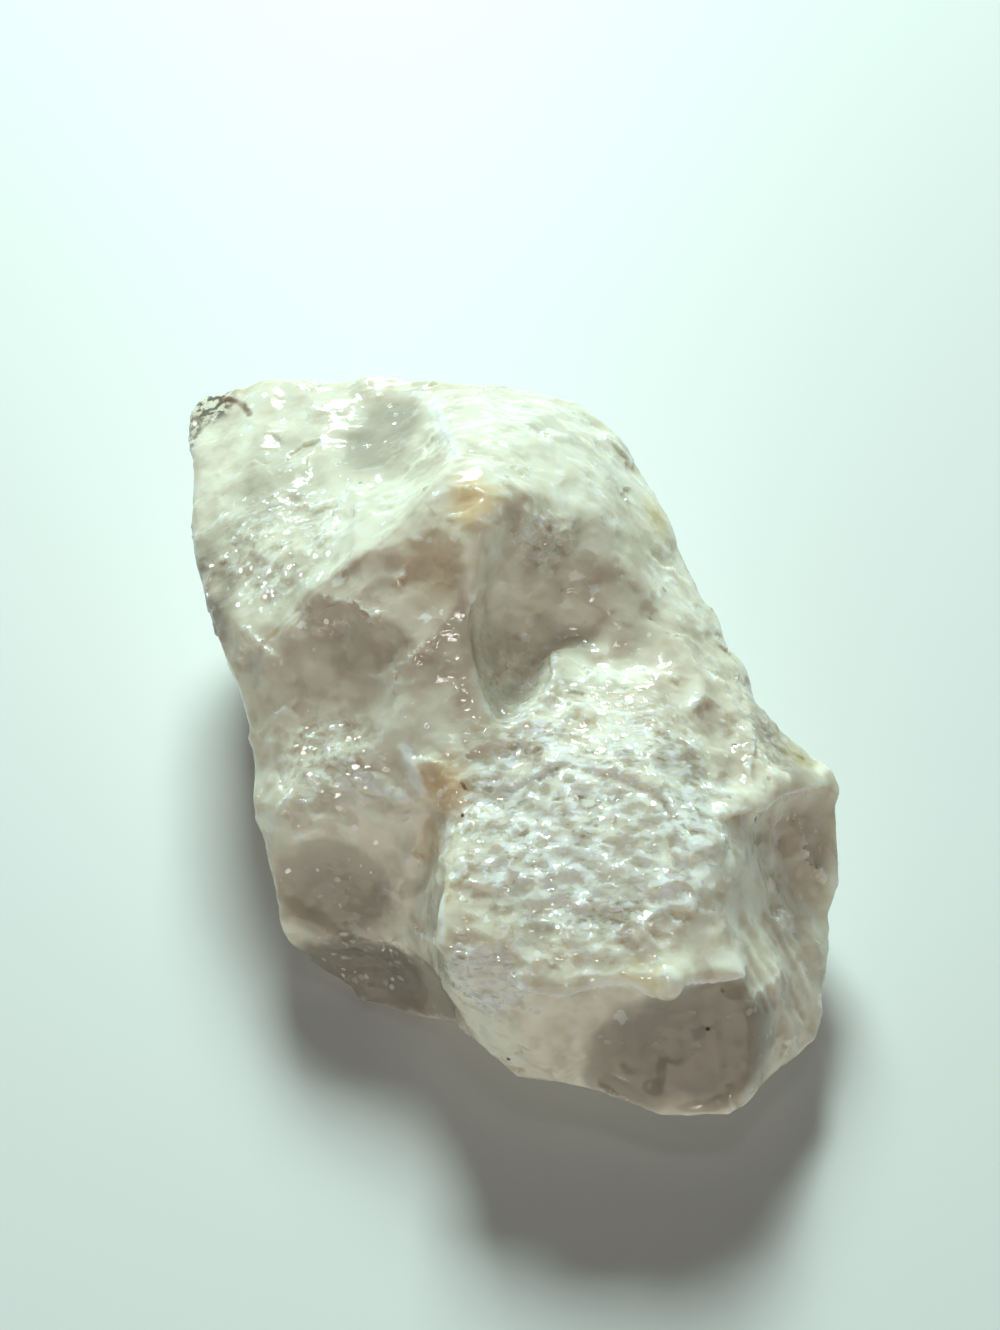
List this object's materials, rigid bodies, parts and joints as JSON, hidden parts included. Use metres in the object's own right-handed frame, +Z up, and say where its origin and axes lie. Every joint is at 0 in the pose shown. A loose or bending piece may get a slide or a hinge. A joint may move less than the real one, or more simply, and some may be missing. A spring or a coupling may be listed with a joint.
{
  "type": "rough milky quartz chunk",
  "caption": "Palm-sized rough chunk of translucent milky quartz with chipped faces, ledges and hollows, resting on a flat broken face.",
  "frame": {"origin": "middle of the flat face that the stone rests on", "axes": "+Z up, out of the top of the stone; +Y along its long side, away from the low block; +X across it"},
  "size_m": [0.0606, 0.0706, 0.0353],
  "materials": {
    "milky_quartz": "glassy broken quartz"
  },
  "bodies": {
    "root": {"milky_quartz_chunk": "milky_quartz"}
  },
  "joints": []
}
